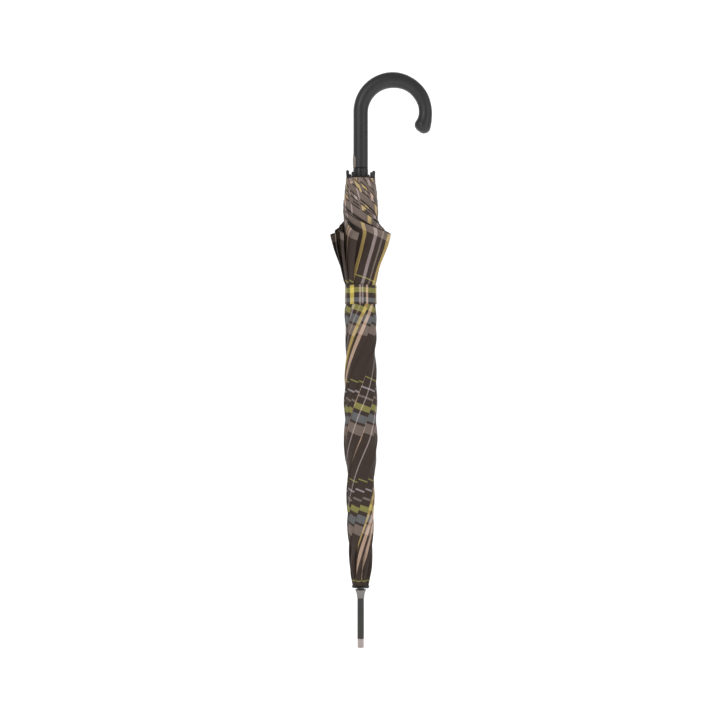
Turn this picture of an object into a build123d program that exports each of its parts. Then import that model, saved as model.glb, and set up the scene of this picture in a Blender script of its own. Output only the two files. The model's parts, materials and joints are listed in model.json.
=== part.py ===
"""A closed stick umbrella, standing on its tip with the crook handle up.

Origin: centre of the ferrule tip's end face. +Z: up the shaft, towards the handle.
+X: the way the crook bends. All lengths are in millimetres.
"""

from build123d import *
from math import atan2, cos, degrees, pi, radians, sin, tan
import os

# Driving dimensions
RIBS = 8
FIRST_AZIMUTH = 10.0
PITCH = 360.0 / RIBS

SHAFT_R = 5.0
SHAFT_BORE_R = 4.3
SHAFT_TOP_Z = 790.0
TIP_HEAD_Z = 13.4
TIP_R = 4.7
COLLAR_Z = 74.3
DISC_Z = 87.0
CLOTH_Z = 94.0
SEAT_R = 5.02
SLIDE_R = 5.07

HINGE_R = 9.0
CROWN_Z = 98.0
ARM = 290.0
JOINT_Z = CROWN_Z + ARM
RUNNER_HINGE_Z = CROWN_Z + 2 * ARM
RUNNER_TRAVEL = 435.0
RUNNER_Z = 671.0
RUNNER_TOP_Z = 718.4
FLANGE_Z = (673.0, 682.0, 685.0, 686.0)
FLANGE_R = 12.5
SLEEVE_R = 7.3
STOP_Z = RUNNER_Z - RUNNER_TRAVEL - 0.5
STOP_HEIGHT = 8.0
STOP_R = 6.8

HUB_R = 11.0
HUB_TOP_Z = 103.0
HUB_SLEEVE_R = 7.0
HUB_SLEEVE_Z = 110.0
HUB_SLOT = (5.8, 10.0)
HUB_SLOT_WIDTH = 2.4

# The opening spring works between its anchor and the follower, which the drive pin ties to the runner
ANCHOR_Z = (84.0, 96.0)
SPRING_R = (2.6, 3.4)
SPRING_GAP = 0.1
FOLLOWER_Z = RUNNER_HINGE_Z + 6
FOLLOWER_HEIGHT = 10.0
DRIVE_PIN_Z = FOLLOWER_Z + FOLLOWER_HEIGHT / 2
DRIVE_PIN_R = 1.0
DRIVE_PIN_HALF_LENGTH = 7.2
DRIVE_HOLE_R = 1.02
DRIVE_SLOT_Z = (DRIVE_PIN_Z - RUNNER_TRAVEL - 2, DRIVE_PIN_Z + 2)
DRIVE_SLOT_WIDTH = 2.4

RIB_STAND_OFF = 3.2
RIB_LEAN = degrees(atan2(RIB_STAND_OFF, ARM))
RIB_HALF_WIDTH = 1.5
RIB_LEG = 1.0
RIB_BACK = 1.6
RIB_WALL = 0.35
CHANNEL_START = 7.0
ROD_START = 295.0
CHANNEL_END = 304.0
ROD_R = 0.9
ROD_ROOT_R = HINGE_R + RIB_STAND_OFF * ROD_START / ARM
TIP_RING_R = 20.0
TIP_TOPS = (715.5, 711.5)
CAP_R = 2.4
CAP_LENGTH = 14.0
WIRE_R = 0.6
EYE_R = 1.5
RIVET_R = 0.6
BAR_R = 1.1

GRIP_Z = 719.0
GRIP_R = 10.9
BEND_R = 48.6
BEND_Z = 802.4
# Crook: angle about the centre of the bend, radius of the handle there
BEND_SECTIONS = (
    (180, 10.9), (140, 11.5), (95, 11.9), (45, 10.6), (5, 9.7), (-14, 10.7), (-27, 12.7), (-36, 12.9),
)
BEND_STEPS = 18
END_ROUNDING = 9.5

BUTTON_Z = 729.0
BUTTON_SIZE = (6.0, 10.0)
BUTTON_GAP = 0.3
BUTTON_DEPTH_R = 7.6
BUTTON_STEM_X = 4.2
BUTTON_STEM = (2.4, 5.0)
BUTTON_BACK_X = 9.0
BEZEL_HALF_WIDTH = 8.0
BEZEL_TOP_Z = 739.5
BEZEL_R = 11.5
BEZEL_SEAT_R = 10.3
LATCH_PIVOT_X = -2.8
LATCH_PIVOT_Z = 770.0
LATCH_NOSE_X = -4.95
LATCH_X = (-3.6, -2.0)
LATCH_Z = (706.0, 773.0)
LATCH_EYE_R = 1.2
LATCH_HALF_WIDTH = 1.2
LATCH_PIN_R = 0.8
LATCH_PIN_HALF_LENGTH = 3.4
LATCH_WINDOW_WIDTH = 3.4
SHAFT_WINDOW_Z = (704.5, 736.5)
RUNNER_WINDOW_Z = (705.0, 712.0)

STRAP_Z = (514.5, 543.0)
STRAP_R = (22.7, 23.4)
# Outer outline of the wound cloth: height, radius
CLOTH_LOW = ((112, 14.6), (131, 15.8), (161, 17.6), (200, 19.0), (250, 19.6), (282, 22.8), (385, 23.4))
CLOTH_HIGH = (
    (408, 23.0), (440, 21.8), (505, 22.2), (547, 22.3), (566, 29.0), (596, 38.5), (617, 45.5),
    (622, 45.5), (632, 32.0), (645, 27.4), (680, 25.0), (697, 23.6),
)
CLOTH_SECTOR = 42.0
CLOTH_GAP = 1.0
SNAP_R = 5.0
SNAP_HEIGHT = 2.2


def radial_plane(azimuth):
    """The upright half plane at an azimuth: sketch x is the radius and sketch y is the height."""
    a = radians(azimuth)
    return Plane(origin=(0, 0, 0), x_dir=(cos(a), sin(a), 0), z_dir=(sin(a), -cos(a), 0))


def ring(inner, outer, low, high):
    """Half outline of a plain ring, for a revolve about the shaft."""
    return [(inner, low), (outer, low), (outer, high), (inner, high)]


def revolved(points):
    """A closed outline in the XZ plane, turned about the shaft."""
    with BuildPart() as made:
        with BuildSketch(Plane.XZ):
            with BuildLine():
                Polyline(*points, close=True)
            make_face()
        revolve(axis=Axis.Z)
    return made


def rib_azimuth(number):
    return FIRST_AZIMUTH + PITCH * number


def rib_back_r(height):
    """Radius of the ribs' outer side at a height, which the cloth lies on."""
    if height < CROWN_Z + ROD_START:
        return HINGE_R + (height - CROWN_Z) * tan(radians(RIB_LEAN)) + RIB_BACK
    rise = (TIP_RING_R - ROD_ROOT_R) / (TIP_TOPS[1] - CROWN_Z - ROD_START)
    return ROD_ROOT_R + (height - CROWN_Z - ROD_START) * rise + RIB_BACK


def keep(piece, name):
    piece.part.label = name
    export_step(piece.part, "parts/" + name + ".step")


os.makedirs("parts", exist_ok=True)

# Shaft and what is fixed to it ---------------------------------------------------------

with BuildPart() as shaft:
    with BuildSketch(Plane.XY.offset(TIP_HEAD_Z)):
        Circle(SHAFT_R)
        Circle(SHAFT_BORE_R, mode=Mode.SUBTRACT)
    extrude(amount=SHAFT_TOP_Z - TIP_HEAD_Z)
    # two long slots for the drive pin
    with BuildSketch(Plane.XZ):
        with Locations((0, sum(DRIVE_SLOT_Z) / 2)):
            SlotOverall(DRIVE_SLOT_Z[1] - DRIVE_SLOT_Z[0], DRIVE_SLOT_WIDTH, rotation=90)
    extrude(amount=SHAFT_R + 1, both=True, mode=Mode.SUBTRACT)
    # window for the latch, on the button's side
    with BuildSketch(Plane.YZ):
        with Locations((0, sum(SHAFT_WINDOW_Z) / 2)):
            Rectangle(LATCH_WINDOW_WIDTH, SHAFT_WINDOW_Z[1] - SHAFT_WINDOW_Z[0])
    extrude(amount=-(SHAFT_R + 1), mode=Mode.SUBTRACT)
    # cross hole for the latch pin
    with BuildSketch(Plane.XZ):
        with Locations((LATCH_PIVOT_X, LATCH_PIVOT_Z)):
            Circle(LATCH_PIN_R + 0.02)
    extrude(amount=SHAFT_R + 1, both=True, mode=Mode.SUBTRACT)
keep(shaft, "shaft")

with BuildPart() as ferrule_tip:
    with BuildSketch(Plane.XY):
        Circle(TIP_R)
    extrude(amount=TIP_HEAD_Z - 0.02)
    fillet(ferrule_tip.faces().sort_by(Axis.Z)[0].edges(), 0.8)
    fillet(ferrule_tip.faces().sort_by(Axis.Z)[-1].edges(), 0.3)
    with BuildSketch(Plane.XY.offset(TIP_HEAD_Z - 1)):
        Circle(SHAFT_BORE_R - 0.02)
    extrude(amount=16)
keep(ferrule_tip, "ferrule_tip")

with BuildPart() as ferrule_collar:
    with BuildSketch(Plane.XZ):
        with BuildLine():
            Polyline((SEAT_R, COLLAR_Z), (5.5, COLLAR_Z), (5.7, COLLAR_Z + 1))
            Spline((5.7, COLLAR_Z + 1), (6.2, COLLAR_Z + 6), (8.0, COLLAR_Z + 11), tangents=((0, 1), (0.6, 1)))
            Polyline((8.0, COLLAR_Z + 11), (8.3, DISC_Z - 0.4), (8.1, DISC_Z - 0.05), (SEAT_R, DISC_Z - 0.05))
            Line((SEAT_R, DISC_Z - 0.05), (SEAT_R, COLLAR_Z))
        make_face()
    revolve(axis=Axis.Z)
keep(ferrule_collar, "ferrule_collar")

disc_rim = [(12.6, DISC_Z), (13.2, DISC_Z + 1.5), (13.2, DISC_Z + 3), (11.5, CLOTH_Z - 0.3)]
crown_disc = revolved([(SEAT_R, DISC_Z), *disc_rim, (SEAT_R, CLOTH_Z - 0.3)])
keep(crown_disc, "crown_disc")

with BuildPart() as crown_hub:
    with BuildSketch(Plane.XZ):
        with BuildLine():
            Polyline(
                (SEAT_R, CLOTH_Z),
                (HUB_R, CLOTH_Z),
                (HUB_R, HUB_TOP_Z),
                (HUB_SLEEVE_R, HUB_TOP_Z),
                (HUB_SLEEVE_R, HUB_SLEEVE_Z),
                (SEAT_R, HUB_SLEEVE_Z),
                close=True,
            )
        make_face()
    revolve(axis=Axis.Z)
    # one slot for each rib's eye
    for number in range(RIBS):
        with BuildSketch(radial_plane(rib_azimuth(number))):
            with Locations((HUB_R - 0.9, CROWN_Z + 3)):
                Rectangle(*HUB_SLOT)
        extrude(amount=HUB_SLOT_WIDTH / 2, both=True, mode=Mode.SUBTRACT)
    # channel for the crown wire
    with BuildSketch(Plane.XZ):
        with Locations((HINGE_R, CROWN_Z)):
            Circle(WIRE_R + 0.05)
    revolve(axis=Axis.Z, mode=Mode.SUBTRACT)
keep(crown_hub, "crown_hub")

with BuildPart() as crown_wire:
    with BuildSketch(Plane.XZ):
        with Locations((HINGE_R, CROWN_Z)):
            Circle(WIRE_R)
    revolve(axis=Axis.Z)
keep(crown_wire, "crown_wire")

open_stop = revolved(ring(SEAT_R, STOP_R, STOP_Z - STOP_HEIGHT, STOP_Z))
keep(open_stop, "open_stop")

# Opening spring, drawn as the tube that its coils fill, between its anchor and the follower
spring_anchor = revolved(ring(0, SHAFT_BORE_R - 0.02, *ANCHOR_Z))
keep(spring_anchor, "spring_anchor")

opening_spring = revolved(ring(*SPRING_R, ANCHOR_Z[1] + SPRING_GAP, FOLLOWER_Z - SPRING_GAP))
keep(opening_spring, "opening_spring")

with BuildPart() as spring_follower:
    with BuildSketch(Plane.XY.offset(FOLLOWER_Z)):
        Circle(SHAFT_BORE_R - 0.1)
    extrude(amount=FOLLOWER_HEIGHT)
    with BuildSketch(Plane.XZ):
        with Locations((0, DRIVE_PIN_Z)):
            Circle(DRIVE_HOLE_R)
    extrude(amount=SHAFT_R, both=True, mode=Mode.SUBTRACT)
keep(spring_follower, "spring_follower")

with BuildPart() as drive_pin:
    with BuildSketch(Plane.XZ):
        with Locations((0, DRIVE_PIN_Z)):
            Circle(DRIVE_PIN_R)
    extrude(amount=DRIVE_PIN_HALF_LENGTH, both=True)
    chamfer(drive_pin.edges().filter_by(GeomType.CIRCLE), 0.2)
keep(drive_pin, "drive_pin")

# Runner --------------------------------------------------------------------------------

with BuildPart() as runner:
    with BuildSketch(Plane.XZ):
        with BuildLine():
            Polyline(
                (SLIDE_R, RUNNER_Z),
                (FLANGE_R - 3.5, RUNNER_Z),
                (FLANGE_R, FLANGE_Z[0]),
                (FLANGE_R, FLANGE_Z[1]),
                (FLANGE_R - 3, FLANGE_Z[2]),
                (SLEEVE_R, FLANGE_Z[3]),
                (SLEEVE_R, RUNNER_TOP_Z),
                (SLIDE_R, RUNNER_TOP_Z),
                close=True,
            )
        make_face()
    revolve(axis=Axis.Z)
    # open slots that take the stretchers' eyes
    for number in range(RIBS):
        with BuildSketch(radial_plane(rib_azimuth(number))):
            with Locations((FLANGE_R - 1.2, RUNNER_HINGE_Z + 1)):
                Rectangle(8, 20)
        extrude(amount=BAR_R + 0.4, both=True, mode=Mode.SUBTRACT)
    # holes for the drive pin
    with BuildSketch(Plane.XZ):
        with Locations((0, DRIVE_PIN_Z)):
            Circle(DRIVE_HOLE_R)
    extrude(amount=FLANGE_R, both=True, mode=Mode.SUBTRACT)
    # window that the latch's nose works in
    with BuildSketch(Plane.YZ):
        with Locations((0, sum(RUNNER_WINDOW_Z) / 2)):
            Rectangle(LATCH_WINDOW_WIDTH, RUNNER_WINDOW_Z[1] - RUNNER_WINDOW_Z[0])
    extrude(amount=-FLANGE_R, mode=Mode.SUBTRACT)
keep(runner, "runner")

# Handle --------------------------------------------------------------------------------


def bend_point(angle):
    """A point of the crook's centre line, by its angle about the centre of the bend."""
    a = radians(angle)
    return (BEND_R + BEND_R * cos(a), 0, BEND_Z + BEND_R * sin(a))


def bend_sections(count):
    """Angles and radii of the crook's cross-sections, eased between those of BEND_SECTIONS."""
    first, last = BEND_SECTIONS[0][0], BEND_SECTIONS[-1][0]
    sections = []
    for step in range(count + 1):
        angle = first + (last - first) * step / count
        for (angle_a, radius_a), (angle_b, radius_b) in zip(BEND_SECTIONS, BEND_SECTIONS[1:]):
            if angle_b <= angle <= angle_a:
                ease = (1 - cos(pi * (angle_a - angle) / (angle_a - angle_b))) / 2
                radius = radius_a + (radius_b - radius_a) * ease
        sections.append((angle, radius))
    return sections


def bezel_outline(inner, outer, margin):
    """The bezel's blank: an arch seen along X, between two radii about the shaft."""
    half, shoulder = BEZEL_HALF_WIDTH + margin, BEZEL_TOP_Z - BEZEL_HALF_WIDTH
    with BuildPart() as blank:
        with BuildSketch(Plane.YZ):
            with BuildLine():
                Polyline((-half, shoulder), (-half, GRIP_Z - margin), (half, GRIP_Z - margin), (half, shoulder))
                ThreePointArc((half, shoulder), (0, BEZEL_TOP_Z + margin), (-half, shoulder))
            make_face()
        extrude(amount=-2 * outer)
        with BuildSketch(Plane.XY.offset(GRIP_Z - 1)):
            Circle(outer)
            Circle(inner, mode=Mode.SUBTRACT)
        extrude(amount=BEZEL_TOP_Z - GRIP_Z + 2, mode=Mode.INTERSECT)
    return blank


bezel_pocket = bezel_outline(BEZEL_SEAT_R, GRIP_R + 2, 0.05)

with BuildPart() as button_window:
    with BuildSketch(Plane.YZ):
        with Locations((0, BUTTON_Z)):
            RectangleRounded(BUTTON_SIZE[0] + BUTTON_GAP, BUTTON_SIZE[1] + BUTTON_GAP, 1.4)
    extrude(amount=-(GRIP_R + 3))

with BuildPart() as handle:
    with BuildLine() as bend:
        ThreePointArc(bend_point(180), bend_point(75), bend_point(BEND_SECTIONS[-1][0]))
    for angle, radius in bend_sections(BEND_STEPS):
        a = radians(angle)
        with BuildSketch(Plane(origin=bend_point(angle), x_dir=(0, 1, 0), z_dir=(sin(a), 0, -cos(a)))):
            Circle(radius)
    sweep(path=bend.line, multisection=True)
    end_face = handle.faces().filter_by(GeomType.PLANE).sort_by(Axis.X)[-1]
    fillet(end_face.edges(), END_ROUNDING)
    with BuildSketch(Plane.XY.offset(GRIP_Z)):
        Circle(GRIP_R)
    extrude(amount=BEND_Z - GRIP_Z)
    # socket for the shaft
    with BuildSketch(Plane.XY.offset(GRIP_Z)):
        Circle(SEAT_R)
    extrude(amount=SHAFT_TOP_Z + 0.5 - GRIP_Z, mode=Mode.SUBTRACT)
    add(bezel_pocket.part, mode=Mode.SUBTRACT)
    add(button_window.part, mode=Mode.SUBTRACT)
keep(handle, "handle")

bezel_blank = bezel_outline(BEZEL_SEAT_R + 0.02, BEZEL_R, 0)

with BuildPart() as button_bezel:
    add(bezel_blank.part)
    add(button_window.part, mode=Mode.SUBTRACT)
keep(button_bezel, "button_bezel")

with BuildPart() as push_button:
    with BuildSketch(Plane.YZ):
        with Locations((0, BUTTON_Z)):
            RectangleRounded(*BUTTON_SIZE, 1.3)
    extrude(amount=-20)
    with BuildSketch(Plane.XY.offset(GRIP_Z)):
        Circle(BEZEL_R + 0.3)
        Circle(BUTTON_DEPTH_R, mode=Mode.SUBTRACT)
    extrude(amount=BEZEL_TOP_Z - GRIP_Z, mode=Mode.INTERSECT)
    # stem that reaches the latch through the shaft's window
    with BuildSketch(Plane.YZ.offset(-BUTTON_BACK_X)):
        with Locations((0, BUTTON_Z)):
            Rectangle(*BUTTON_STEM)
    extrude(amount=BUTTON_BACK_X - BUTTON_STEM_X)
keep(push_button, "push_button")

with BuildPart() as latch_lever:
    with BuildSketch(Plane.XZ):
        with BuildLine():
            Polyline(
                (LATCH_X[1], LATCH_Z[1]),
                (LATCH_X[0], LATCH_Z[1]),
                (LATCH_X[0], BUTTON_Z + 3),
                (-BUTTON_STEM_X + 0.15, BUTTON_Z + 2.4),
                (-BUTTON_STEM_X + 0.15, BUTTON_Z - 2.4),
                (LATCH_X[0], BUTTON_Z - 3),
                (LATCH_X[0], RUNNER_WINDOW_Z[1] - 0.5),
                (LATCH_NOSE_X, RUNNER_WINDOW_Z[1] - 1),
                (LATCH_NOSE_X, RUNNER_WINDOW_Z[1] - 3),
                (LATCH_X[0], LATCH_Z[0]),
                (LATCH_X[1], LATCH_Z[0]),
                close=True,
            )
        make_face()
    extrude(amount=LATCH_HALF_WIDTH, both=True)
    with BuildSketch(Plane.XZ):
        with Locations((LATCH_PIVOT_X, LATCH_PIVOT_Z)):
            Circle(LATCH_EYE_R)
    extrude(amount=LATCH_HALF_WIDTH, both=True)
    with BuildSketch(Plane.XZ):
        with Locations((LATCH_PIVOT_X, LATCH_PIVOT_Z)):
            Circle(LATCH_PIN_R + 0.06)
    extrude(amount=LATCH_PIN_HALF_LENGTH, both=True, mode=Mode.SUBTRACT)
keep(latch_lever, "latch_lever")

with BuildPart() as latch_pin:
    with BuildSketch(Plane.XZ):
        with Locations((LATCH_PIVOT_X, LATCH_PIVOT_Z)):
            Circle(LATCH_PIN_R)
    extrude(amount=LATCH_PIN_HALF_LENGTH, both=True)
keep(latch_pin, "latch_pin")

with BuildPart() as latch_spring:
    with BuildSketch(Plane.XZ):
        with BuildLine():
            Polyline((3.7, 784), (3.7, 762), (-0.7, 748), (0.7, 743), (1.0, 743), (-0.4, 748), (4.0, 762))
            Polyline((4.0, 762), (4.0, 784), (3.7, 784))
        make_face()
    extrude(amount=1.0, both=True)
keep(latch_spring, "latch_spring")

# Ribs and stretchers -------------------------------------------------------------------


def rib_frame(azimuth):
    """The rib's side plane: sketch x stands out from the rib, sketch y runs along it."""
    flat = radial_plane(azimuth)
    hinge = flat.from_local_coords((HINGE_R, CROWN_Z, 0))
    along = flat.from_local_coords((tan(radians(RIB_LEAN)), 1, 0)) - flat.from_local_coords((0, 0, 0))
    out = along.cross(flat.z_dir)
    return Plane(origin=hinge, x_dir=out, z_dir=flat.z_dir)


def channel_band(outer, inner, start, end):
    """Side outline of a straight band along the rib."""
    return [(inner, start), (outer, start), (outer, end), (inner, end)]


def make_rib_inner(azimuth):
    """The rib's steel channel: an eye on the crown wire, and a lug for the stretcher."""
    side = rib_frame(azimuth)
    flat = radial_plane(azimuth)
    with BuildPart() as rib:
        with BuildSketch(side):
            with BuildLine():
                Polyline(*channel_band(RIB_BACK, -RIB_LEG, CHANNEL_START, CHANNEL_END), close=True)
            make_face()
        extrude(amount=RIB_HALF_WIDTH, both=True)
        with BuildSketch(side):
            with BuildLine():
                Polyline(
                    *channel_band(RIB_BACK - RIB_WALL, -RIB_LEG - 1, CHANNEL_START - 1, CHANNEL_END + 1),
                    close=True
                )
            make_face()
        extrude(amount=RIB_HALF_WIDTH - RIB_WALL, both=True, mode=Mode.SUBTRACT)
        # eye and its tongue
        with BuildSketch(side):
            Circle(EYE_R)
            with BuildLine():
                Polyline(*channel_band(1.2, -1.2, 0, CHANNEL_START + 5), close=True)
            make_face()
        extrude(amount=0.9, both=True)
        with BuildSketch(side):
            with BuildLine():
                Polyline(*channel_band(RIB_BACK, 0, CHANNEL_START, CHANNEL_START + 5), close=True)
            make_face()
        extrude(amount=0.9, both=True)
        with BuildSketch(side):
            Circle(WIRE_R + 0.1)
        extrude(amount=2, both=True, mode=Mode.SUBTRACT)
        # lug
        with BuildSketch(flat):
            with Locations((HINGE_R, JOINT_Z)):
                Circle(EYE_R)
            with BuildLine():
                Polyline(
                    (HINGE_R, JOINT_Z - EYE_R),
                    (HINGE_R, JOINT_Z + EYE_R),
                    (HINGE_R + RIB_STAND_OFF, JOINT_Z + 3),
                    (HINGE_R + RIB_STAND_OFF + RIB_BACK - 0.1, JOINT_Z + 3),
                    (HINGE_R + RIB_STAND_OFF + RIB_BACK - 0.1, JOINT_Z - 3),
                    (HINGE_R + RIB_STAND_OFF, JOINT_Z - 3),
                    close=True,
                )
            make_face()
        extrude(amount=0.5, both=True)
        with BuildSketch(flat):
            with Locations((HINGE_R, JOINT_Z)):
                Circle(RIVET_R + 0.06)
        extrude(amount=2, both=True, mode=Mode.SUBTRACT)
    return rib


def make_rib_outer(azimuth, tip_top):
    """The rib's glass-fibre rod with its cap, as two solids."""
    flat = radial_plane(azimuth)
    root = flat.from_local_coords((ROD_ROOT_R, CROWN_Z + ROD_START, 0))
    end = flat.from_local_coords((TIP_RING_R, tip_top, 0))
    along = (end - root).normalized()
    length = (end - root).length
    with BuildPart() as rod:
        with BuildSketch(Plane(origin=root, z_dir=along)):
            Circle(ROD_R)
        extrude(amount=length - 3)
    with BuildPart() as cap:
        with BuildSketch(Plane(origin=end - along * CAP_LENGTH, z_dir=along)):
            Circle(CAP_R)
        extrude(amount=CAP_LENGTH)
        fillet(cap.edges().sort_by(Axis.Z)[-1], CAP_R - 0.3)
        with BuildSketch(Plane(origin=end - along * CAP_LENGTH, z_dir=along)):
            Circle(ROD_R + 0.02)
        extrude(amount=CAP_LENGTH - 2.9, mode=Mode.SUBTRACT)
    return Compound(children=[rod.part, cap.part])


def make_stretcher(azimuth):
    """A bar with a fork and rivet at the rib, and an eye at the runner."""
    flat = radial_plane(azimuth)
    with BuildPart() as bar:
        with BuildSketch(flat):
            with Locations((HINGE_R, JOINT_Z + ARM / 2)):
                SlotOverall(ARM + 2 * BAR_R, 2 * BAR_R, rotation=90)
        extrude(amount=BAR_R, both=True)
        # fork
        with BuildSketch(flat):
            with Locations((HINGE_R, JOINT_Z + 4)):
                SlotOverall(8 + 2 * BAR_R, 2 * BAR_R, rotation=90)
        extrude(amount=1.5, both=True)
        with BuildSketch(flat):
            with Locations((HINGE_R, JOINT_Z)):
                Rectangle(8, 7)
        extrude(amount=0.7, both=True, mode=Mode.SUBTRACT)
        with BuildSketch(flat):
            with Locations((HINGE_R, JOINT_Z)):
                Circle(RIVET_R)
        extrude(amount=1.5, both=True)
    return bar


for number in range(RIBS):
    rib_inner = make_rib_inner(rib_azimuth(number))
    keep(rib_inner, f"rib_inner_{number + 1}")
    stretcher = make_stretcher(rib_azimuth(number))
    keep(stretcher, f"stretcher_{number + 1}")
    rib_outer = make_rib_outer(rib_azimuth(number), TIP_TOPS[number % 2])
    rib_outer.label = f"rib_outer_{number + 1}"
    export_step(rib_outer, f"parts/rib_outer_{number + 1}.step")

# Canopy, as the space that each gore's wound cloth fills -------------------------------


def make_gore(azimuth, outline):
    """A sector between two ribs, outside their backs, with the wound cloth's outline."""
    start = azimuth + (PITCH - CLOTH_SECTOR) / 2
    ends = (outline[-1][0], outline[0][0])
    inside = [(rib_back_r(height) + CLOTH_GAP, height) for height in ends]
    with BuildPart() as gore:
        with BuildSketch(radial_plane(start)):
            with BuildLine():
                Polyline(*[(radius, height) for height, radius in outline], *inside, close=True)
            make_face()
        revolve(axis=Axis.Z, revolution_arc=CLOTH_SECTOR)
    return gore


for number in range(RIBS):
    gore_inner = make_gore(rib_azimuth(number), CLOTH_LOW)
    keep(gore_inner, f"gore_inner_{number + 1}")
    gore_outer = make_gore(rib_azimuth(number), CLOTH_HIGH)
    keep(gore_outer, f"gore_outer_{number + 1}")

closure_strap = revolved(ring(*STRAP_R, *STRAP_Z))
keep(closure_strap, "closure_strap")

with BuildPart() as strap_fastener:
    with BuildSketch(Plane(origin=(0, STRAP_R[1] - 0.6, sum(STRAP_Z) / 2), x_dir=(1, 0, 0), z_dir=(0, 1, 0))):
        Circle(SNAP_R)
    extrude(amount=SNAP_HEIGHT)
    fillet(strap_fastener.faces().sort_by(Axis.Y)[-1].edges(), 0.6)
    with BuildSketch(Plane.XY.offset(STRAP_Z[0])):
        Circle(STRAP_R[1] + 0.01)
    extrude(amount=STRAP_Z[1] - STRAP_Z[0], mode=Mode.SUBTRACT)
keep(strap_fastener, "strap_fastener")
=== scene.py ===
"""Looks of the stick umbrella: crook handle, wound plaid canopy, and the same canopy spread when it opens.

Lengths are in metres in the part's frame: +Z up the shaft, +X the way the crook bends.
Tables in millimetres say so, and are scaled by MM.
"""

import json
import math

import bpy
import numpy as np
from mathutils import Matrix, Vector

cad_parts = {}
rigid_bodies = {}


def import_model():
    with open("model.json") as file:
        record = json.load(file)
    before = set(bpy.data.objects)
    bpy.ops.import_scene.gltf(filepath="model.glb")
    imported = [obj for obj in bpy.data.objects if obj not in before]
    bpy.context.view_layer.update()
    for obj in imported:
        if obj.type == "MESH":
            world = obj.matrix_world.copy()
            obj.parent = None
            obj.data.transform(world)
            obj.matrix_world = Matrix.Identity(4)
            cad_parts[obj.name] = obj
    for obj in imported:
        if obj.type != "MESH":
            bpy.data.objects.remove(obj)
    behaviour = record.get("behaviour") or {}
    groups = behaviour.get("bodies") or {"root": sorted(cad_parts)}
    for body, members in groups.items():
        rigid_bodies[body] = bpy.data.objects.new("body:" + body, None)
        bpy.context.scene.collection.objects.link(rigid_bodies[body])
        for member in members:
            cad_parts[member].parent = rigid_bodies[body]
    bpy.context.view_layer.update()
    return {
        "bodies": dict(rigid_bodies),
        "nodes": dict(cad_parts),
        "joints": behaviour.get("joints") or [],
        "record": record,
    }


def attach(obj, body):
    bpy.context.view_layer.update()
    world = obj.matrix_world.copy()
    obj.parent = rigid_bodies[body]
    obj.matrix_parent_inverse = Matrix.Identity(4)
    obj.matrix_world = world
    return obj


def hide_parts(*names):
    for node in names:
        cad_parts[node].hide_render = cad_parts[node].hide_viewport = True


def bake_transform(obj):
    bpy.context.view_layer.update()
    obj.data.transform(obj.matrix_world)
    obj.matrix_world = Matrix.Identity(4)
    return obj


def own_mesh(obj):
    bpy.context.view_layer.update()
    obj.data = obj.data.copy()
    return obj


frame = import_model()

MM = 0.001
RIBS = 8
PITCH = 2 * math.pi / RIBS
FIRST_RIB = math.radians(10)
CROWN = 0.098  # height of the ribs' hinges
HINGE_R = 0.009
CHANNEL_LEAN, CHANNEL_LENGTH = 0.0032, 0.290  # how far a rib's channel leans out over its length


# ---------------------------------------------------------------- small tools


def smoothstep(t):
    t = np.clip(t, 0, 1)
    return t * t * (3 - 2 * t)


def profile(table, z):
    """Values of a (height, value) table in millimetres at heights in metres, eased by a short average."""
    heights, values = np.array(table, float).T
    total = 0
    for shift in (-4, -2, 0, 2, 4):
        total = total + np.interp(np.asarray(z) / MM + shift, heights, values)
    return total / 5


def grid_faces(rows, columns, close=False):
    """Quads of a grid of rows x columns points, closed round its columns if asked."""
    i, j = np.meshgrid(np.arange(rows - 1), np.arange(columns if close else columns - 1), indexing="ij")
    k = (j + 1) % columns
    a, b = i * columns + j, i * columns + k
    c, d = (i + 1) * columns + k, (i + 1) * columns + j
    return np.stack([a, b, c, d], -1).reshape(-1, 4)


def make_piece(name, points, faces, material, uv=None):
    """A smooth mesh object from points, quads and a texture coordinate for each point."""
    mesh = bpy.data.meshes.new(name)
    points = np.asarray(points, float).reshape(-1, 3)
    mesh.from_pydata(points.tolist(), [], np.asarray(faces).tolist())
    mesh.update()
    if uv is not None:
        layer = mesh.uv_layers.new(name="cloth")
        corner = np.empty(len(mesh.loops), np.int32)
        mesh.loops.foreach_get("vertex_index", corner)
        layer.data.foreach_set("uv", np.asarray(uv, np.float32).reshape(-1, 2)[corner].ravel())
    mesh.polygons.foreach_set("use_smooth", np.ones(len(mesh.polygons), bool))
    obj = bpy.data.objects.new(name, mesh)
    bpy.context.scene.collection.objects.link(obj)
    mesh.materials.append(material)
    return obj


def thicken(obj, thickness):
    """Gives a sheet of cloth its thickness, half on each side."""
    solid = obj.modifiers.new("solidify", "SOLIDIFY")
    solid.thickness = thickness
    solid.offset = 0.0


# ---------------------------------------------------------------- materials


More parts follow.
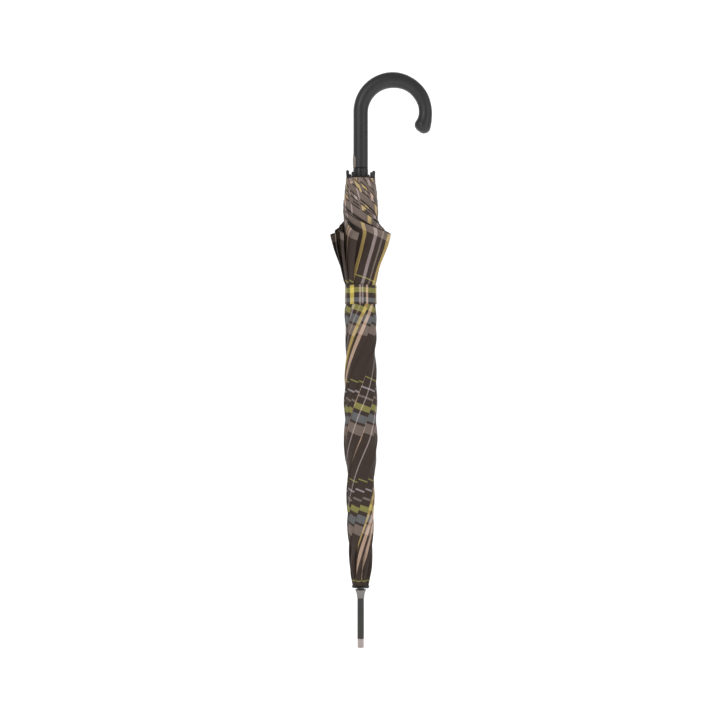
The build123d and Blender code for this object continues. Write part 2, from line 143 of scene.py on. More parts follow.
class Nodes:
    """A material's node tree, with short calls for the nodes used here."""

    def __init__(self, name):
        self.material = bpy.data.materials.new(name)
        self.material.use_nodes = True
        self.tree = self.material.node_tree
        self.shader = self.tree.nodes["Principled BSDF"]

    def add(self, kind, inputs=(), **settings):
        node = self.tree.nodes.new("ShaderNode" + kind)
        for key, value in settings.items():
            setattr(node, key, value)
        for key, value in dict(inputs).items():
            self.set(node, key, value)
        return node

    def set(self, node, key, value):
        if isinstance(value, bpy.types.NodeSocket):
            self.tree.links.new(value, node.inputs[key])
        else:
            node.inputs[key].default_value = value

    def math(self, operation, *values):
        node = self.add("Math", enumerate(values), operation=operation)
        return node.outputs[0]

    def mix(self, factor, a, b, blend="MIX"):
        node = self.add("Mix", data_type="RGBA", blend_type=blend)
        for key, value in ((0, factor), (6, a), (7, b)):
            self.set(node, key, value)
        return node.outputs[2]

    def noise(self, vector, scale, detail=3.0, roughness=0.5):
        inputs = {"Vector": vector, "Scale": scale, "Detail": detail, "Roughness": roughness}
        return self.add("TexNoise", inputs).outputs["Fac"]

    def remap(self, value, low, high):
        """Maps 0..1 to low..high."""
        return self.add("MapRange", {"Value": value, "To Min": low, "To Max": high}).outputs[0]

    def bump(self, height, distance, strength=1.0):
        node = self.add("Bump", {"Height": height, "Distance": distance, "Strength": strength})
        self.set(self.shader, "Normal", node.outputs[0])

    def shade(self, **values):
        for key, value in values.items():
            self.set(self.shader, key.replace("_", " "), value)
        return self.material


def rgb(red, green, blue):
    """A colour given as screen values from 0 to 255, as the linear colour that shaders use."""
    linear = []
    for value in (red, green, blue):
        share = value / 255
        linear.append(((share + 0.055) / 1.055) ** 2.4 if value > 10 else share / 12.92)
    return (*linear, 1)


def moulded_plastic(name, colour, roughness, grain=2500.0, depth=0.00003):
    """Satin moulded plastic with a fine grain, faint smears in its gloss and slightly rubbed high spots."""
    n = Nodes(name)
    place = n.add("TexCoord").outputs["Object"]
    smears = n.noise(place, 60.0, 4.0)
    fine = n.noise(place, grain, 2.0)
    rubbed = tuple(min(1, 1.5 * c + 0.004) for c in colour[:3]) + (1,)
    tone = n.mix(n.remap(smears, 0.0, 0.35), colour, rubbed)
    n.bump(fine, depth, 0.35)
    return n.shade(Base_Color=tone, Roughness=n.remap(smears, roughness - 0.07, roughness + 0.09))


def metal(name, colour, roughness, across=(1.0, 1.0, 0.02), metallic=1.0):
    """Drawn or turned metal with fine lines along one direction and uneven sheen."""
    n = Nodes(name)
    place = n.add("TexCoord").outputs["Object"]
    stretched = n.add("Mapping", {"Vector": place, "Scale": across}).outputs[0]
    lines = n.noise(stretched, 4000.0, 2.0)
    blotches = n.noise(place, 90.0, 4.0)
    dull = tuple(0.6 * c for c in colour[:3]) + (1,)
    tone = n.mix(n.remap(blotches, 0.0, 0.4), colour, dull)
    n.bump(lines, 0.00002, 0.4)
    uneven = n.math("ADD", n.remap(blotches, -0.06, 0.08), n.remap(lines, roughness - 0.05, roughness + 0.05))
    return n.shade(Base_Color=tone, Roughness=uneven, Metallic=metallic)


GROUND = rgb(60, 48, 42)
GOLD = (0.74, 0.53, 0.17, 1)
MAUVE = (0.50, 0.40, 0.385, 1)
PINK = (0.80, 0.55, 0.40, 1)
OLIVE = (0.40, 0.38, 0.10, 1)
GREY_BLUE = (0.20, 0.215, 0.225, 1)
TAUPE = (0.30, 0.235, 0.20, 1)
LILAC = (0.50, 0.45, 0.47, 1)
# Dark brown of the hem band: partly the hem seam's own colour, partly painted shade under the hem's edge
HEM_SEAM_AND_SHADE_BROWN = rgb(40, 30, 25)
PLAID = 148.6  # repeat of the plaid both ways, in millimetres
TWILL = 0.7  # pitch of the twill's diagonal rib, in millimetres
HEM_SHADE_START = 626.2  # how far along the wound cloth its hem's dark band starts, in millimetres: the seam's own darker colour with painted shade under the hem's edge
NO_HEM = 1000.0  # farther along than any cloth goes
# Stripes along the gore and bands across it: centre, width, colour, in millimetres
WARP = (
    (20, 6.0, GOLD), (36.2, 4.8, MAUVE), (46, 2.6, TAUPE),
    (55.2, 5.2, GOLD), (64, 5.4, PINK), (130, 3.8, PINK), (144, 2.2, MAUVE),
)
WEFT = (
    (27.0, 13.5, TAUPE), (43.0, 11.5, GREY_BLUE), (58.5, 8.0, OLIVE), (72.5, 3.2, TAUPE),
    (85.5, 2.2, LILAC), (100.5, 1.7, OLIVE),
)


def band_ramp(n, position, bands):
    """A colour ramp that repeats a row of bands on the ground colour."""
    turn = n.math("FRACT", n.math("DIVIDE", position, PLAID))
    ramp = n.add("ValToRGB", {"Fac": turn})
    stops = ramp.color_ramp
    stops.interpolation = "CONSTANT"
    stops.elements[0].position, stops.elements[0].color = 0, GROUND
    stops.elements.remove(stops.elements[1])
    for centre, width, colour in bands:
        stops.elements.new((centre - width / 2) / PLAID).color = colour
        stops.elements.new((centre + width / 2) / PLAID).color = GROUND
    return ramp.outputs[0]


def slubs(n, place, scale):
    """Uneven thickness of the threads that run one way."""
    return n.noise(n.add("Mapping", {"Vector": place, "Scale": scale}).outputs[0], 1.0, 3.0)


def dye_unevenness(n, place, slub_a):
    """A grey that darkens and lightens the cloth: slubs along both threads and a broad drift of the dye."""
    slub_b = slubs(n, place, (0.05, 2.2, 1.0))
    broad = n.noise(place, 0.03, 3.0)
    value = n.math("ADD", n.remap(slub_a, 0.62, 1.2), n.remap(slub_b, -0.12, 0.26))
    value = n.math("MULTIPLY", value, n.remap(broad, 0.86, 1.14))
    return n.add("CombineColor", {0: value, 1: value, 2: value}).outputs[0]


def plaid_cloth(name, warp=WARP, weft=WEFT, hem=NO_HEM):
    """Plaid in a fine twill with a dark hem band, partly the seam's colour and partly painted shade: warp
    along the gore, weft across it, in millimetres.
    """
    n = Nodes(name)
    place = n.add("UVMap", uv_map="cloth").outputs[0]
    parts = n.add("SeparateXYZ", {"Vector": place})
    across, along = parts.outputs[0], parts.outputs[1]
    wander = n.remap(n.noise(place, 0.05, 2.0), -0.5, 0.5)
    warp_colour = band_ramp(n, n.math("ADD", across, wander), warp)
    weft_colour = band_ramp(n, n.math("ADD", along, wander), weft)
    # Past the hem's start the cloth turns dark brown: the seam's colour plus painted shade along the hem's
    # edge
    hem_seam_and_shade = n.math("GREATER_THAN", along, hem)
    # the twill's diagonal rib, in threads of half its pitch
    diagonal = n.math("SINE", n.math("MULTIPLY", n.math("ADD", across, along), 2 * math.pi / TWILL))
    threads = n.math("SINE", n.math("MULTIPLY", along, 2 * math.pi / (TWILL / 2)))
    weave = n.math("MULTIPLY_ADD", diagonal, 0.16, 0.5)
    colour = n.mix(hem_seam_and_shade, n.mix(weave, warp_colour, weft_colour), HEM_SEAM_AND_SHADE_BROWN)
    slub_a = slubs(n, place, (2.2, 0.05, 1.0))
    colour = n.mix(1.0, colour, dye_unevenness(n, place, slub_a), "MULTIPLY")
    height = n.math("ADD", n.math("MULTIPLY", diagonal, 0.6), n.math("MULTIPLY", threads, 0.4))
    n.bump(height, 0.00006, 0.5)
    rough = n.remap(slub_a, 0.6, 0.82)
    return n.shade(Base_Color=colour, Roughness=rough, Sheen_Weight=0.04, Specular_IOR_Level=0.2)


def black_cloth(name):
    """Black canopy cloth: a plain weave over a slow crumple."""
    n = Nodes(name)
    place = n.add("TexCoord").outputs["Object"]
    weave = n.add("TexVoronoi", {"Vector": place, "Scale": 2200.0}).outputs["Distance"]
    crumple = n.noise(place, 140.0, 4.0)
    tone = n.mix(n.remap(crumple, 0.0, 0.7), rgb(14, 14, 15), rgb(34, 33, 33))
    n.bump(n.math("ADD", weave, n.math("MULTIPLY", crumple, 3.0)), 0.00012, 0.6)
    return n.shade(Base_Color=tone, Roughness=n.remap(crumple, 0.6, 0.85), Sheen_Weight=0.2)


PLAID_CLOTH = plaid_cloth("plaid_cloth")
WOUND_CLOTH = plaid_cloth("wound_cloth", hem=HEM_SHADE_START)
BLACK_CLOTH = black_cloth("black_cloth")
HANDLE_PLASTIC = moulded_plastic("handle_plastic", rgb(30, 30, 31), 0.42)
BLACK_PLASTIC = moulded_plastic("black_plastic", rgb(19, 19, 20), 0.38)
BEZEL_PLASTIC = moulded_plastic("bezel_plastic", rgb(116, 107, 98), 0.4)
ROD_FIBRE = moulded_plastic("rod_fibre", rgb(38, 38, 38), 0.45)
SHAFT_STEEL = metal("shaft_steel", rgb(62, 61, 60), 0.34, metallic=0.55)
RIB_STEEL = metal("rib_steel", rgb(36, 36, 37), 0.36, metallic=0.5)
SPRING_STEEL = metal("spring_steel", rgb(150, 150, 152), 0.3)
COLLAR_METAL = metal("collar_metal", rgb(132, 128, 126), 0.36, across=(1.0, 1.0, 40.0))
TIP_METAL = metal("tip_metal", rgb(176, 164, 160), 0.36, across=(0.2, 0.2, 1.0))


# ---------------------------------------------------------------- joints at the open limit


def turn_about(point, axis, angle):
    """4x4 matrix that turns about a line."""
    x, y, z = np.array(axis, float) / np.linalg.norm(axis)
    cross = np.array([[0, -z, y], [z, 0, -x], [-y, x, 0]])
    made = np.eye(4)
    made[:3, :3] += math.sin(angle) * cross + (1 - math.cos(angle)) * cross @ cross
    made[:3, 3] = np.array(point, float) - made[:3, :3] @ np.array(point, float)
    return made


def open_matrices():
    """Where each body's frame stands when the runner is at its open limit."""
    joints = {j["child"]: j for j in frame["joints"]}
    ratios = {c["joint"]: c["ratio"] for c in frame["record"]["behaviour"]["couplings"]}
    travel = next(j["range_m"][1] for j in frame["joints"] if j["name"] == "runner_slide")
    found = {}

    def place(body):
        if body not in found:
            joint = joints.get(body)
            if joint is None or joint["name"] not in ratios or joint["name"] == "latch_turn":
                found[body] = np.eye(4)
            else:
                angle = ratios[joint["name"]] * travel
                own = turn_about(joint["pos_m"], joint["axis"], angle)
                found[body] = place(joint["parent"]) @ own
        return found[body]

    for name in frame["bodies"]:
        place(name)
    return found


OPEN = open_matrices()


def transform(matrix, points):
    """Points moved by a 4x4 matrix."""
    return points @ matrix[:3, :3].T + matrix[:3, 3]


def rest_points(body_a, body_b, target, weight):
    """Rest points that a blend between two bodies would carry to target at the open limit."""
    to_a = np.linalg.inv(OPEN[body_a])
    relative = to_a @ OPEN[body_b]
    turn, shift = relative[:3, :3], relative[:3, 3]
    angle = math.acos(np.clip((np.trace(turn) - 1) / 2, -1, 1))
    axis = np.array([turn[2, 1] - turn[1, 2], turn[0, 2] - turn[2, 0], turn[1, 0] - turn[0, 1]])
    axis = axis / np.linalg.norm(axis)
    along = (shift @ axis) * axis
    pivot = np.linalg.lstsq(np.eye(3) - turn, shift - along, rcond=None)[0]
    p = transform(to_a, target) - weight[:, None] * along - pivot
    cosine, sine = np.cos(weight * angle)[:, None], -np.sin(weight * angle)[:, None]
    return pivot + p * cosine + np.cross(axis, p) * sine + axis * (p @ axis)[:, None] * (1 - cosine)


def set_blend(obj, body_a, body_b, weight):
    """Bakes obj's placement into its points. The two bodies and the weights are not used."""
    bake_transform(obj)


# ---------------------------------------------------------------- ribs


ROD_ROOT = (HINGE_R + CHANNEL_LEAN * 295 / 290, 0.393)  # radius and height where a rod starts
ROD_BEND = 0.07  # length over which a rod bends as the canopy opens
ROD_R = 0.0009
TIP_R = 0.020  # how far the rods' tips stand from the shaft's axis
TIP_TOPS = (0.7155, 0.7115)  # heights of the tips, turn about
# A rod's moulded cap: distance from its tip and radius, in millimetres
CAP_OUTLINE = (
    (-14, 0.95), (-14, 1.7), (-13.6, 2.0), (-12, 2.1), (-11.6, 1.75), (-10.8, 1.75), (-10.4, 2.15),
    (-6, 2.3), (-3, 2.4), (-1.6, 2.25), (-0.6, 1.7), (-0.1, 0.9), (0, 0.0),
)


def azimuth(number):
    """Azimuth of a rib."""
    return FIRST_RIB + PITCH * number


def radial(angle, radius, height):
    """Points at azimuths, radii and heights."""
    return np.stack(np.broadcast_arrays(radius * np.cos(angle), radius * np.sin(angle), height), -1)


def rib_line(height, top=TIP_TOPS[1]):
    """Radius of a rib's centre line at a height, at rest."""
    lean = HINGE_R + (height - CROWN) * CHANNEL_LEAN / CHANNEL_LENGTH
    rod = ROD_ROOT[0] + (height - ROD_ROOT[1]) * (TIP_R - ROD_ROOT[0]) / (top - ROD_ROOT[1])
    return np.where(height < ROD_ROOT[1], lean, rod)


def rod_ends(number, top):
    """The two ends of a rod, and its length."""
    root = radial(azimuth(number), *ROD_ROOT)
    end = radial(azimuth(number), TIP_R, top)
    return root, end, float(np.linalg.norm(end - root))


def turned_rod(name, number, top, outline, material):
    """A body of revolution along a rod, from (distance from the root, radius) pairs."""
    root, end, length = rod_ends(number, top)
    along = (end - root) / length
    side = radial(azimuth(number) + math.pi / 2, 1.0, 0.0)
    other = np.cross(along, side)
    turn = np.linspace(0, 2 * math.pi, 12, endpoint=False)
    ring = np.cos(turn)[:, None] * side + np.sin(turn)[:, None] * other
    distance, radius = np.array(outline, float).T
    points = root + distance[:, None, None] * along + radius[:, None, None] * ring
    return make_piece(name, points, grid_faces(len(distance), len(turn), close=True), material)


def rib_rod(number):
    """The fibre rod with its moulded cap, with closer rings where it leaves the steel channel."""
    top = TIP_TOPS[number % 2]
    root, end, length = rod_ends(number, top)
    bending = np.linspace(0, 2 * ROD_BEND, 30)
    straight = np.linspace(2.2 * ROD_BEND, length - 0.003, 20)
    rod_outline = [(d, ROD_R) for d in np.concatenate([bending, straight])]
    cap_outline = [(length + d * MM, r * MM) for d, r in CAP_OUTLINE]
    rod = turned_rod(f"rib_rod_{number + 1}", number, top, rod_outline, ROD_FIBRE)
    cap = turned_rod(f"rib_cap_{number + 1}", number, top, cap_outline, BLACK_PLASTIC)
    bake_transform(rod)
    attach(cap, f"rib_outer_{number + 1}")
    for piece in (rod, cap):
        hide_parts(f"rib_outer_{number + 1}")


# ---------------------------------------------------------------- the wound canopy


# Outline of the wound cloth, (height, radius) in millimetres, without the folds above the strap
BODY_R = (
    (90, 11.6), (96, 12.0), (104, 13.6), (116, 15.3), (131, 16.2), (161, 17.9), (191, 19.4), (251, 19.6),
    (266, 20.8), (281, 23.0), (311, 24.5), (349, 22.6), (371, 23.9), (401, 23.5), (431, 22.2), (461, 22.0),
    (505, 22.6), (513, 22.3), (518, 22.0), (540, 22.0), (546, 22.9), (566, 24.5), (619, 26.0), (653, 26.0),
    (679, 24.4), (704, 21.6),
)
FLARE_R = ((540, 22.0), (551, 25.6), (566, 30.4), (581, 35.5), (596, 40.5), (619, 46.4), (710, 47.0))
WINDING = (  # height in millimetres, angle in radians from a rib to its gore's fold
    (90, 0.05), (98, 0.15), (116, 0.50), (150, 1.05), (176, 1.50), (236, 2.50), (300, 3.56), (424, 5.64),
    (514, 7.47), (543, 8.03), (619, 8.20), (710, 8.20),
)
# Degrees that each gore's fold leans off the even spacing, at these heights in millimetres
SHIFT_HEIGHTS = (150, 300, 420, 500, 543, 619, 655)
FOLD_SHIFT = (
    (0, -30, -30, -5, 15, 15, 17),
    (0, -4, -4, 0, 15, 15, -17),
    (0, 0, 0, 0, -10, 7, 17),
    (0, 0, 0, -10, -24, -17, -17),
    (0, 0, 0, -15, -46, -32, 17),
    (0, 0, 0, 0, 0, 7, -17),
    (0, 6, 6, 0, 10, 15, 17),
    (0, 0, 0, 0, 15, 15, -17),
)
# Where in the plaid's repeat each gore's fold lies, in millimetres
FOLD_STRIPE = (97, 159, 150, 100, 84, 58.5, 74.5, 94)
CLOTH_LOW, CLOTH_TOP, CLOTH_CORNER = 0.0939, 0.704, 0.619
HEM_START = 0.42  # share of the half gore whose hem stays at the top
LAYERS_PITCH = 0.0048  # thickness of one turn of the wound cloth
STAND_REACH = 1.45  # angle in radians over which a flap above the strap rises to its fold
GORE_ROWS, GORE_COLUMNS = 250, 72


def hem_height(t):
    """Height of the hem of the wound cloth, t from the rib at 0 to the fold at 1."""
    x = np.clip((1 - t) / (1 - HEM_START), 0, 1)
    return CLOTH_CORNER + (CLOTH_TOP - CLOTH_CORNER) * (0.8 * x + 0.2 * x**2)


def hem_share(z):
    """Where along a half gore the hem is at a height. It solves hem_height's 0.8 x + 0.2 x**2 for x."""
    above = np.clip((z - CLOTH_CORNER) / (CLOTH_TOP - CLOTH_CORNER), 0, 1)
    return 1 - (1 - HEM_START) * (np.sqrt(0.64 + 0.8 * above) - 0.8) / 0.4


def common_folds(angle, height):
    """Soft ridges along the winding and puckers under the strap, shared by all layers, in metres."""
    lean = angle * 22 - 0.45 * height / MM
    z = height / MM
    ridges = 0.30 * np.sin(lean / 3.1 + 1.3 * np.sin(z / 41))
    ridges = ridges + 0.22 * np.sin(lean / 5.3 + 2 + 1.7 * np.sin(z / 63))
    ridges = ridges + 0.35 * np.sin(lean / 9.7 + 4 + 0.9 * np.sin(z / 87))
    near_strap = np.exp(-(((z - 529) / 24) ** 2))
    puckers = near_strap * 0.35 * np.sin(angle * 19 + 1.2 * np.sin(z / 7))
    under = (np.abs(z - 528.7) < 16) * 0.8 * near_strap
    return (ridges * (1 - 0.6 * near_strap) + puckers * (1 - under)) * MM


def fold_bulge(distance):
    """How far the soft fold at a flap's edge stands up, by distance from the fold in metres."""
    x = distance / MM
    return 1.6 * MM * smoothstep((x + 0.2) / 3.5) * np.exp(-np.clip(x - 3, 0, None) / 5.0)


def wound_angle(number, layer, t, z, winding):
    """Azimuth of the cloth of a half gore."""
    lean = np.radians(profile(tuple(zip(SHIFT_HEIGHTS, FOLD_SHIFT[number])), z)) * t**2
    return azimuth(number + layer) + t * (winding - layer * PITCH) + lean


def layer_depth(layer, t, z, winding):
    """How deep the cloth of a half gore lies under what is wound over it."""
    turned = t * (winding - layer * PITCH) + layer * PITCH
    return (hem_share(z) * winding - turned) / (2 * math.pi) * LAYERS_PITCH


def strap_pinch(z):
    """1 under the strap and 0 away from it."""
    return smoothstep((z / MM - 507) / 8) * smoothstep((550 - z / MM) / 8)


def hem_curl(number, t, z, angle):
    """The slight curl of the free hem."""
    edge = np.clip(1 - (hem_height(t) - z) / 0.012, 0, 1) ** 2
    return edge * 0.0006 * np.sin(angle * 9 + number) * (t > HEM_START)


def cloth_place(number, layer, t, z, distance):
    """Cloth coordinates in millimetres: across the gore, and along it from the crown."""
    sign = 1 if layer else -1
    wander = 12 * smoothstep((300 - z / MM) / 130) * (number == 5)
    stripe = FOLD_STRIPE[number] + wander + sign * 0.92 * distance / MM
    in_body = z / MM - 0.3 * distance / MM
    from_hem = CLOTH_CORNER / MM + 9 - (hem_height(t) - z) / MM
    along = in_body + (from_hem - in_body) * smoothstep((z / MM - 555) / 65)
    return np.stack([stripe, along], -1)


def half_gore(number, layer, t, q):
    """Points and cloth coordinates of a half gore: t from its rib at 0 to its fold at 1, q up the cloth."""
    z = CLOTH_LOW + q * (hem_height(t) - CLOTH_LOW)
    winding = profile(WINDING, z)
    angle = wound_angle(number, layer, t, z, winding)
    flare = smoothstep((z / MM - 540) / 75)
    body, blade = profile(BODY_R, z) * MM, profile(FLARE_R, z) * MM
    proud = np.clip(blade - body, 0, None)
    back = (1 - t) * winding
    distance = back * body + 0.68 * proud * np.clip(back / STAND_REACH, 0, 1)
    stand = np.clip(1 - back / STAND_REACH, 0, 1) ** 1.4 * proud * flare**0.15
    rib = np.maximum(rib_line(z) + 0.0021, 0.0114)
    outside = np.maximum(body - layer_depth(layer, t, z, winding), rib + 0.0004)
    lift = smoothstep(t * np.maximum(winding, 0.8) * 2.2)
    inner_gap = layer * (0.0003 + 0.0022 * flare * np.clip(stand / 0.02, 0, 1)) * smoothstep((1 - t) * 60)
    bulge = fold_bulge(distance) * (1 - 0.85 * strap_pinch(z)) * (1 - 0.6 * flare)
    radius = rib + (outside - rib) * lift + stand + bulge * lift * (1 - 0.6 * layer) - inner_gap
    radius = radius + common_folds(angle, z) * lift * (1 - 0.4 * flare)
    radius = np.maximum(radius, 0.0113) + hem_curl(number, t, z, angle)
    return radial(angle, radius, z), cloth_place(number, layer, t, z, distance)


def wound_gore(number):
    """One gore wound round the shaft: a half from its rib to the fold, and a half back to the next rib."""
    q = np.linspace(0, 1, GORE_ROWS)[:, None]
    half = 1 - (1 - np.linspace(0, 1, GORE_COLUMNS)) ** 1.25
    halves = [half_gore(number, 0, half[None, :], q), half_gore(number, 1, half[::-1][1:][None, :], q)]
    points, coordinates = (np.concatenate(parts, 1) for parts in zip(*halves))
    faces = grid_faces(GORE_ROWS, points.shape[1])
    return make_piece(f"wound_gore_{number + 1}", points, faces, WOUND_CLOTH, coordinates)


# ---------------------------------------------------------------- the spread canopy


GORE_CUT = 0.612  # length along a rib from the crown's hinge line to the hem
HEM_SAG = 0.026  # how far the hem's middle stands back from its ends
SPREAD_START = 0.006  # where the spread cloth starts, by length along the rib
SPREAD_COLUMNS = 33
CROWN_PLACE = 94  # cloth coordinate at the crown's hinge line, in millimetres
# How far the open gore's middle sinks in from flat: length along the rib, depth, in millimetres
GORE_SINK = (
    (0, 0), (60, 1.0), (100, 2.4), (150, 4.2), (200, 6.4), (250, 9.0), (295, 11.6), (360, 11.6), (420, 12.4),
    (500, 14.4), (580, 16.4), (620, 17.0),
)


def rib_on_cloth(number, s):
    """The cloth's line over a rib when the canopy is open, by distance along the rib from the crown."""
    height = CROWN + s
    weight = smoothstep((height - ROD_ROOT[1]) / ROD_BEND)
    back = 0.0024 - 0.0009 * smoothstep((height - ROD_ROOT[1]) / 0.02)
    rest = radial(azimuth(number), rib_line(height) + back, height)
    steel, rod = OPEN[f"rib_inner_{number % RIBS + 1}"], OPEN[f"rib_outer_{number % RIBS + 1}"]
    relative = np.linalg.inv(steel) @ rod
    angle = math.acos(np.clip((np.trace(relative[:3, :3]) - 1) / 2, -1, 1))
    axis = -radial(azimuth(number) + math.pi / 2, 1.0, 0.0)
    root = radial(azimuth(number), *ROD_ROOT)
    p = rest - root
    cosine, sine = np.cos(weight * angle)[..., None], np.sin(weight * angle)[..., None]
    bent = root + p * cosine + np.cross(axis, p) * sine + axis * (p @ axis)[..., None] * (1 - cosine)
    return transform(steel, bent)


def spread_part(number, low, high, rows):
    """Target points, weights and cloth coordinates of the open gore between two shares of its length."""
    across = np.linspace(0, 1, SPREAD_COLUMNS)
    shape = 4 * across * (1 - across)
    hem = GORE_CUT - HEM_SAG * shape
    s = SPREAD_START + (hem - SPREAD_START) * np.linspace(low, high, rows)[:, None]
    left, right = rib_on_cloth(number, s), rib_on_cloth(number + 1, s)
    points = left + (right - left) * across[None, :, None]
    slope = np.radians(75 - 25 * smoothstep((s - 0.27) / 0.10))
    inward = radial(azimuth(number) + across[None, :] * PITCH, -np.cos(slope), np.sin(slope))
    points = points + (profile(GORE_SINK, s) * MM * shape[None, :])[..., None] * inward
    width = np.linalg.norm(right - left, axis=-1)
    stripe = FOLD_STRIPE[number] + (across - 0.5)[None, :] * width / MM
    chord = np.cos(PITCH / 2) * s + (1 - np.cos(PITCH / 2)) * s * (1 - shape)[None, :]
    coordinates = np.stack([stripe, CROWN_PLACE + chord / MM], -1)
    weight = np.broadcast_to(across, s.shape)
    return points, weight, coordinates


def spread_gore(number):
    """The open gore in two pieces. Each is given the rest points worked out between two bodies."""
    made = []
    for part, low, high, rows in (("low", 0.0, 0.48, 40), ("high", 0.48, 1.0, 48)):
        points, weight, coordinates = spread_part(number, low, high, rows)
        side = "inner" if part == "low" else "outer"
        bodies = f"rib_{side}_{number + 1}", f"gore_{side}_{number + 1}"
        weight = weight.ravel()
        rest = rest_points(*bodies, points.reshape(-1, 3), weight)
        name, faces = f"spread_gore_{part}_{number + 1}", grid_faces(rows, SPREAD_COLUMNS)
        obj = make_piece(name, rest, faces, PLAID_CLOTH, coordinates)
        set_blend(obj, *bodies, weight)
        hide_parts(f"gore_{side}_{number + 1}")
        made.append(obj)
    return made


def canopy():
    """Both sets of cloth: the wound one, attached to the frame, and the spread one."""
    for number in range(RIBS):
        spread = spread_gore(number)
        wound = wound_gore(number)
        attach(wound, "frame")
        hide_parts(f"gore_inner_{number + 1}", f"gore_outer_{number + 1}")
        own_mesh(wound)


# ---------------------------------------------------------------- strap, disc and spring


STRAP_BAND = (0.5145, 0.543)
STRAP_R = 0.0231
STRAP_START, STRAP_OVERLAP = math.radians(80), 0.42  # azimuth of the strap's end, angle that it overlaps
# The press stud: height over the strap and radius, in millimetres
STUD_OUTLINE = (
    (-0.6, 5.0), (0.5, 5.0), (1.1, 4.6), (1.4, 3.8), (1.2, 2.6), (0.9, 2.2), (1.0, 1.2), (1.1, 0.0),
)


def strap_cloth():
    """The strap's own run of the plaid."""
    warp = (
        (6.5, 5.0, (0.62, 0.50, 0.36, 1)), (23.0, 6.9, (0.95, 0.74, 0.16, 1)), (36.2, 2.8, MAUVE),
        (39.9, 2.4, MAUVE), (46.8, 3.6, PINK), (70, 6.0, GOLD), (96, 4.0, PINK), (120, 6.0, GOLD),
        (134, 4.0, MAUVE),
    )
    weft = ((6.0, 6.5, GREY_BLUE), (20.5, 7.5, OLIVE))
    return plaid_cloth("strap_cloth", warp, weft)


def strap_band():
    """The strap, with soft waves and its overlapped end."""
    rows, columns = 15, 160
    v = np.linspace(0, 1, rows)[:, None]
    turn = np.linspace(0, 2 * math.pi + STRAP_OVERLAP, columns)[None, :]
    angle = STRAP_START + turn
    z = STRAP_BAND[0] + v * (STRAP_BAND[1] - STRAP_BAND[0])
    waves = 0.25 * np.sin(angle * 7) + 0.16 * np.sin(angle * 17 + 3 * v)
    edge = 0.35 * np.cos(math.pi * v) ** 6 * np.sin(angle * 5 + 1)
    overlap = 1.1 * smoothstep((turn - 2 * math.pi + 0.1) / 0.18)
    radius = STRAP_R + (waves + edge + overlap) * MM
    points = radial(angle, radius, z + 0.0005 * np.sin(angle * 3))
    facing = (np.degrees(angle) + 180) / 360 % 1
    coordinates = np.stack(np.broadcast_arrays(facing * PLAID, (z - STRAP_BAND[0]) / MM), -1)
    strap = make_piece("closure_band", points, grid_faces(rows, columns), strap_cloth(), coordinates)
    thicken(strap, 0.0009)
    return strap


def press_stud():
    """The press stud that holds the strap's end."""
    columns = 40
    outward = radial(math.radians(90), 1.0, 0.0)
    turn = np.linspace(0, 2 * math.pi, columns, endpoint=False)
    ring = np.cos(turn)[:, None] * np.array([1.0, 0, 0]) + np.sin(turn)[:, None] * np.array([0, 0, 1.0])
    height, radius = np.array(STUD_OUTLINE).T * MM
    centre = outward * (STRAP_R + 0.0016) + np.array([0, 0, sum(STRAP_BAND) / 2])
    points = centre + height[:, None, None] * outward + radius[:, None, None] * ring
    return make_piece("press_stud", points, grid_faces(len(STUD_OUTLINE), columns, close=True), BLACK_PLASTIC)


def strap_and_snap():
    """The closure strap round the wound canopy, attached to a gore's body."""
    direction = radial(azimuth(3), 1.0, 0.0)
    strap, stud = strap_band(), press_stud()
    for piece in (strap, stud):
        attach(piece, "gore_outer_3")
        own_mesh(piece)
    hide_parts("closure_strap")
    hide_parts("strap_fastener")


def crown_cloth():
    """The black wavy washer of cloth under the crown."""
    rows, columns = 22, 180
    s = np.linspace(0, 1, rows)[:, None]
    angle = np.linspace(0, 2 * math.pi, columns, endpoint=False)[None, :]
    layer = np.where(s < 0.5, 0, 1)
    out = 1 - np.abs(2 * s - 1)
    reach = 5.3 + 7.9 * out
    low, high = 89.4, 91.6
    base = low + (high - low) * smoothstep((s - 0.35) / 0.3)
    wave = out**2 * (0.9 + 0.8 * np.sin(angle * 5 + 0.7) + 0.5 * np.sin(angle * 9 + 2)) + 0.15 * layer
    ripple = out**2 * 0.35 * np.sin(angle * 13 + 1)
    points = radial(angle, (reach + ripple * 0.6) * MM, (base + wave) * MM)
    piece = make_piece("crown_cloth", points, grid_faces(rows, columns, close=True), BLACK_CLOTH)
    thicken(piece, 0.0005)
    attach(piece, "frame")
    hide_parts("crown_disc")


def runner_skirt():
    """The runner's fluted skirt. It is in the visual model only: the CAD runner that was checked has none."""
    flutes, columns = 12, 288
    outline = (
        (7.4, 690.5), (9.6, 691.0), (10.9, 692.0), (11.2, 693.5), (11.2, 700.0), (11.2, 709.0), (11.2, 717.0),
        (11.0, 718.0), (10.4, 718.4), (7.4, 718.4),
    )
    radius, height = np.array(outline).T[:, :, None]
    angle = np.linspace(0, 2 * math.pi, columns, endpoint=False)[None, :]
    flute = 1.1 * np.clip(np.cos(flutes * angle), 0, 1) ** 2 * (radius > 10.5)
    points = radial(angle, (radius - flute) * MM, height * MM)
    faces = grid_faces(len(outline), columns, close=True)
    skirt = make_piece("runner_skirt", points, faces, BLACK_PLASTIC)
    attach(skirt, "runner")


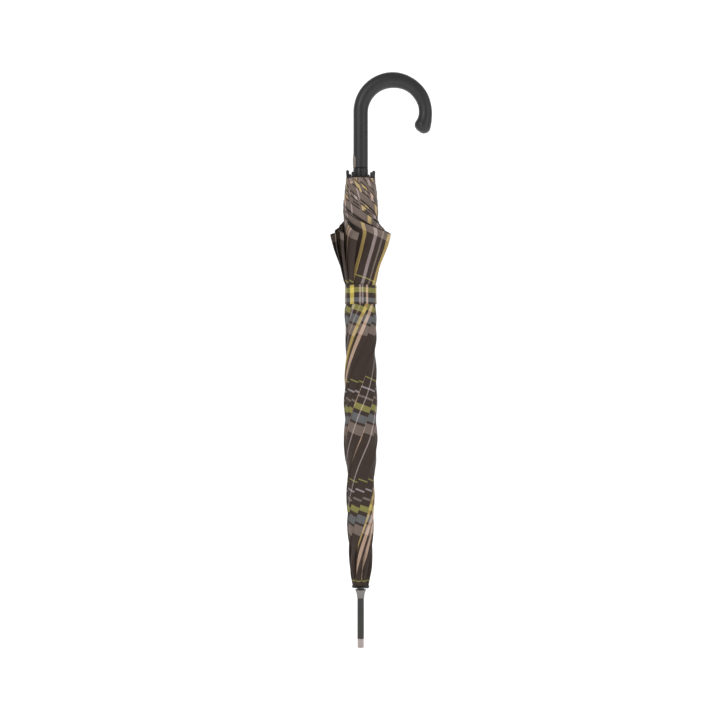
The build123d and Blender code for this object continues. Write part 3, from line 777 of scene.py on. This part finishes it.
def spring_coil():
    """The long opening spring inside the shaft."""
    low, high = 0.0964, 0.6836
    turns, radius, wire = 150, 0.0030, 0.00032
    steps = turns * 14
    along = np.linspace(0, 1, steps)
    turn = along * turns * 2 * math.pi
    centre = radial(turn, radius, low + along * (high - low))
    outward = radial(turn, 1.0, 0.0)
    upward = np.broadcast_to(np.array([0, 0, 1.0]), outward.shape)
    ring = np.linspace(0, 2 * math.pi, 6, endpoint=False)
    points = centre[:, None] + wire * (
        np.cos(ring)[None, :, None] * outward[:, None] + np.sin(ring)[None, :, None] * upward[:, None]
    )
    coil = make_piece("spring_coil", points, grid_faces(steps, 6, close=True), SPRING_STEEL)
    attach(coil, "frame")
    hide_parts("opening_spring")
    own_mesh(coil)


# ---------------------------------------------------------------- CAD pieces, light and camera


def paint(material, *names):
    """Gives CAD nodes a material."""
    for name in names:
        mesh = frame["nodes"][name].data
        mesh.materials.clear()
        mesh.materials.append(material)


def paint_frame():
    """Materials for the CAD nodes that stay in view."""
    paint(HANDLE_PLASTIC, "handle")
    paint(BEZEL_PLASTIC, "button_bezel", "push_button")
    paint(SHAFT_STEEL, "shaft", "latch_pin", "latch_lever", "drive_pin")
    paint(SPRING_STEEL, "latch_spring", "crown_wire")
    paint(COLLAR_METAL, "ferrule_collar")
    paint(TIP_METAL, "ferrule_tip")
    paint(BLACK_PLASTIC, "runner", "crown_hub", "open_stop", "spring_anchor", "spring_follower")
    for number in range(1, RIBS + 1):
        paint(RIB_STEEL, f"rib_inner_{number}", f"stretcher_{number}")


def floor():
    """A plain pale floor that curves up into a backdrop."""
    n = Nodes("studio_floor")
    place = n.add("TexCoord").outputs["Object"]
    tone = n.mix(n.noise(place, 3.0, 3.0), (0.90, 0.90, 0.90, 1), (0.93, 0.93, 0.93, 1))
    material = n.shade(Base_Color=tone, Roughness=0.9, Emission_Color=(1, 1, 1, 1), Emission_Strength=0.45)
    steps = 12
    curve = np.linspace(0, 1, steps) * math.pi / 2
    depth = np.concatenate([np.linspace(-4, 3.0, steps), 3.0 + 2.0 * np.sin(curve), [5.0]])
    rise = np.concatenate([np.zeros(steps), 2.0 * (1 - np.cos(curve)), [6.0]])
    across = np.array([-7.0, 7.0])
    points = np.stack(np.broadcast_arrays(across[None, :], depth[:, None], rise[:, None] - 0.0002), -1)
    make_piece("studio_floor", points, grid_faces(len(depth), 2), material)


def area_light(name, place, target, size, watts):
    """A square soft light aimed at a point."""
    data = bpy.data.lights.new(name, "AREA")
    data.shape, data.size, data.energy = "SQUARE", size, watts
    obj = bpy.data.objects.new(name, data)
    bpy.context.scene.collection.objects.link(obj)
    obj.location = place
    aim = Vector(target) - Vector(place)
    obj.rotation_euler = aim.to_track_quat("-Z", "Y").to_euler()


def studio():
    """A pale world and three soft lights."""
    world = bpy.data.worlds.new("studio")
    world.use_nodes = True
    background = world.node_tree.nodes["Background"]
    background.inputs["Color"].default_value = (1, 1, 1, 1)
    background.inputs["Strength"].default_value = 0.5
    scene = bpy.context.scene
    scene.world = world
    scene.view_settings.view_transform = "Standard"
    scene.view_settings.look = "None"
    area_light("key", (-1.7, -2.4, 1.9), (0, 0, 0.5), 1.4, 25)
    area_light("fill", (2.4, -1.8, 1.2), (0, 0, 0.45), 1.8, 14)
    area_light("back", (0.5, 2.2, 2.2), (0, 0, 0.5), 1.6, 15)


def camera():
    """A level camera in front of the umbrella, with its axis at half its height."""
    data = bpy.data.cameras.new("camera")
    data.lens, data.sensor_width = 72, 36  # millimetres
    obj = bpy.data.objects.new("camera", data)
    bpy.context.scene.collection.objects.link(obj)
    obj.location = (-0.001, -2.16, 0.431)
    obj.rotation_euler = (math.pi / 2, 0, 0)
    bpy.context.scene.camera = obj


paint_frame()
for rib in range(RIBS):
    rib_rod(rib)
canopy()
strap_and_snap()
crown_cloth()
spring_coil()
runner_skirt()
floor()
studio()
camera()
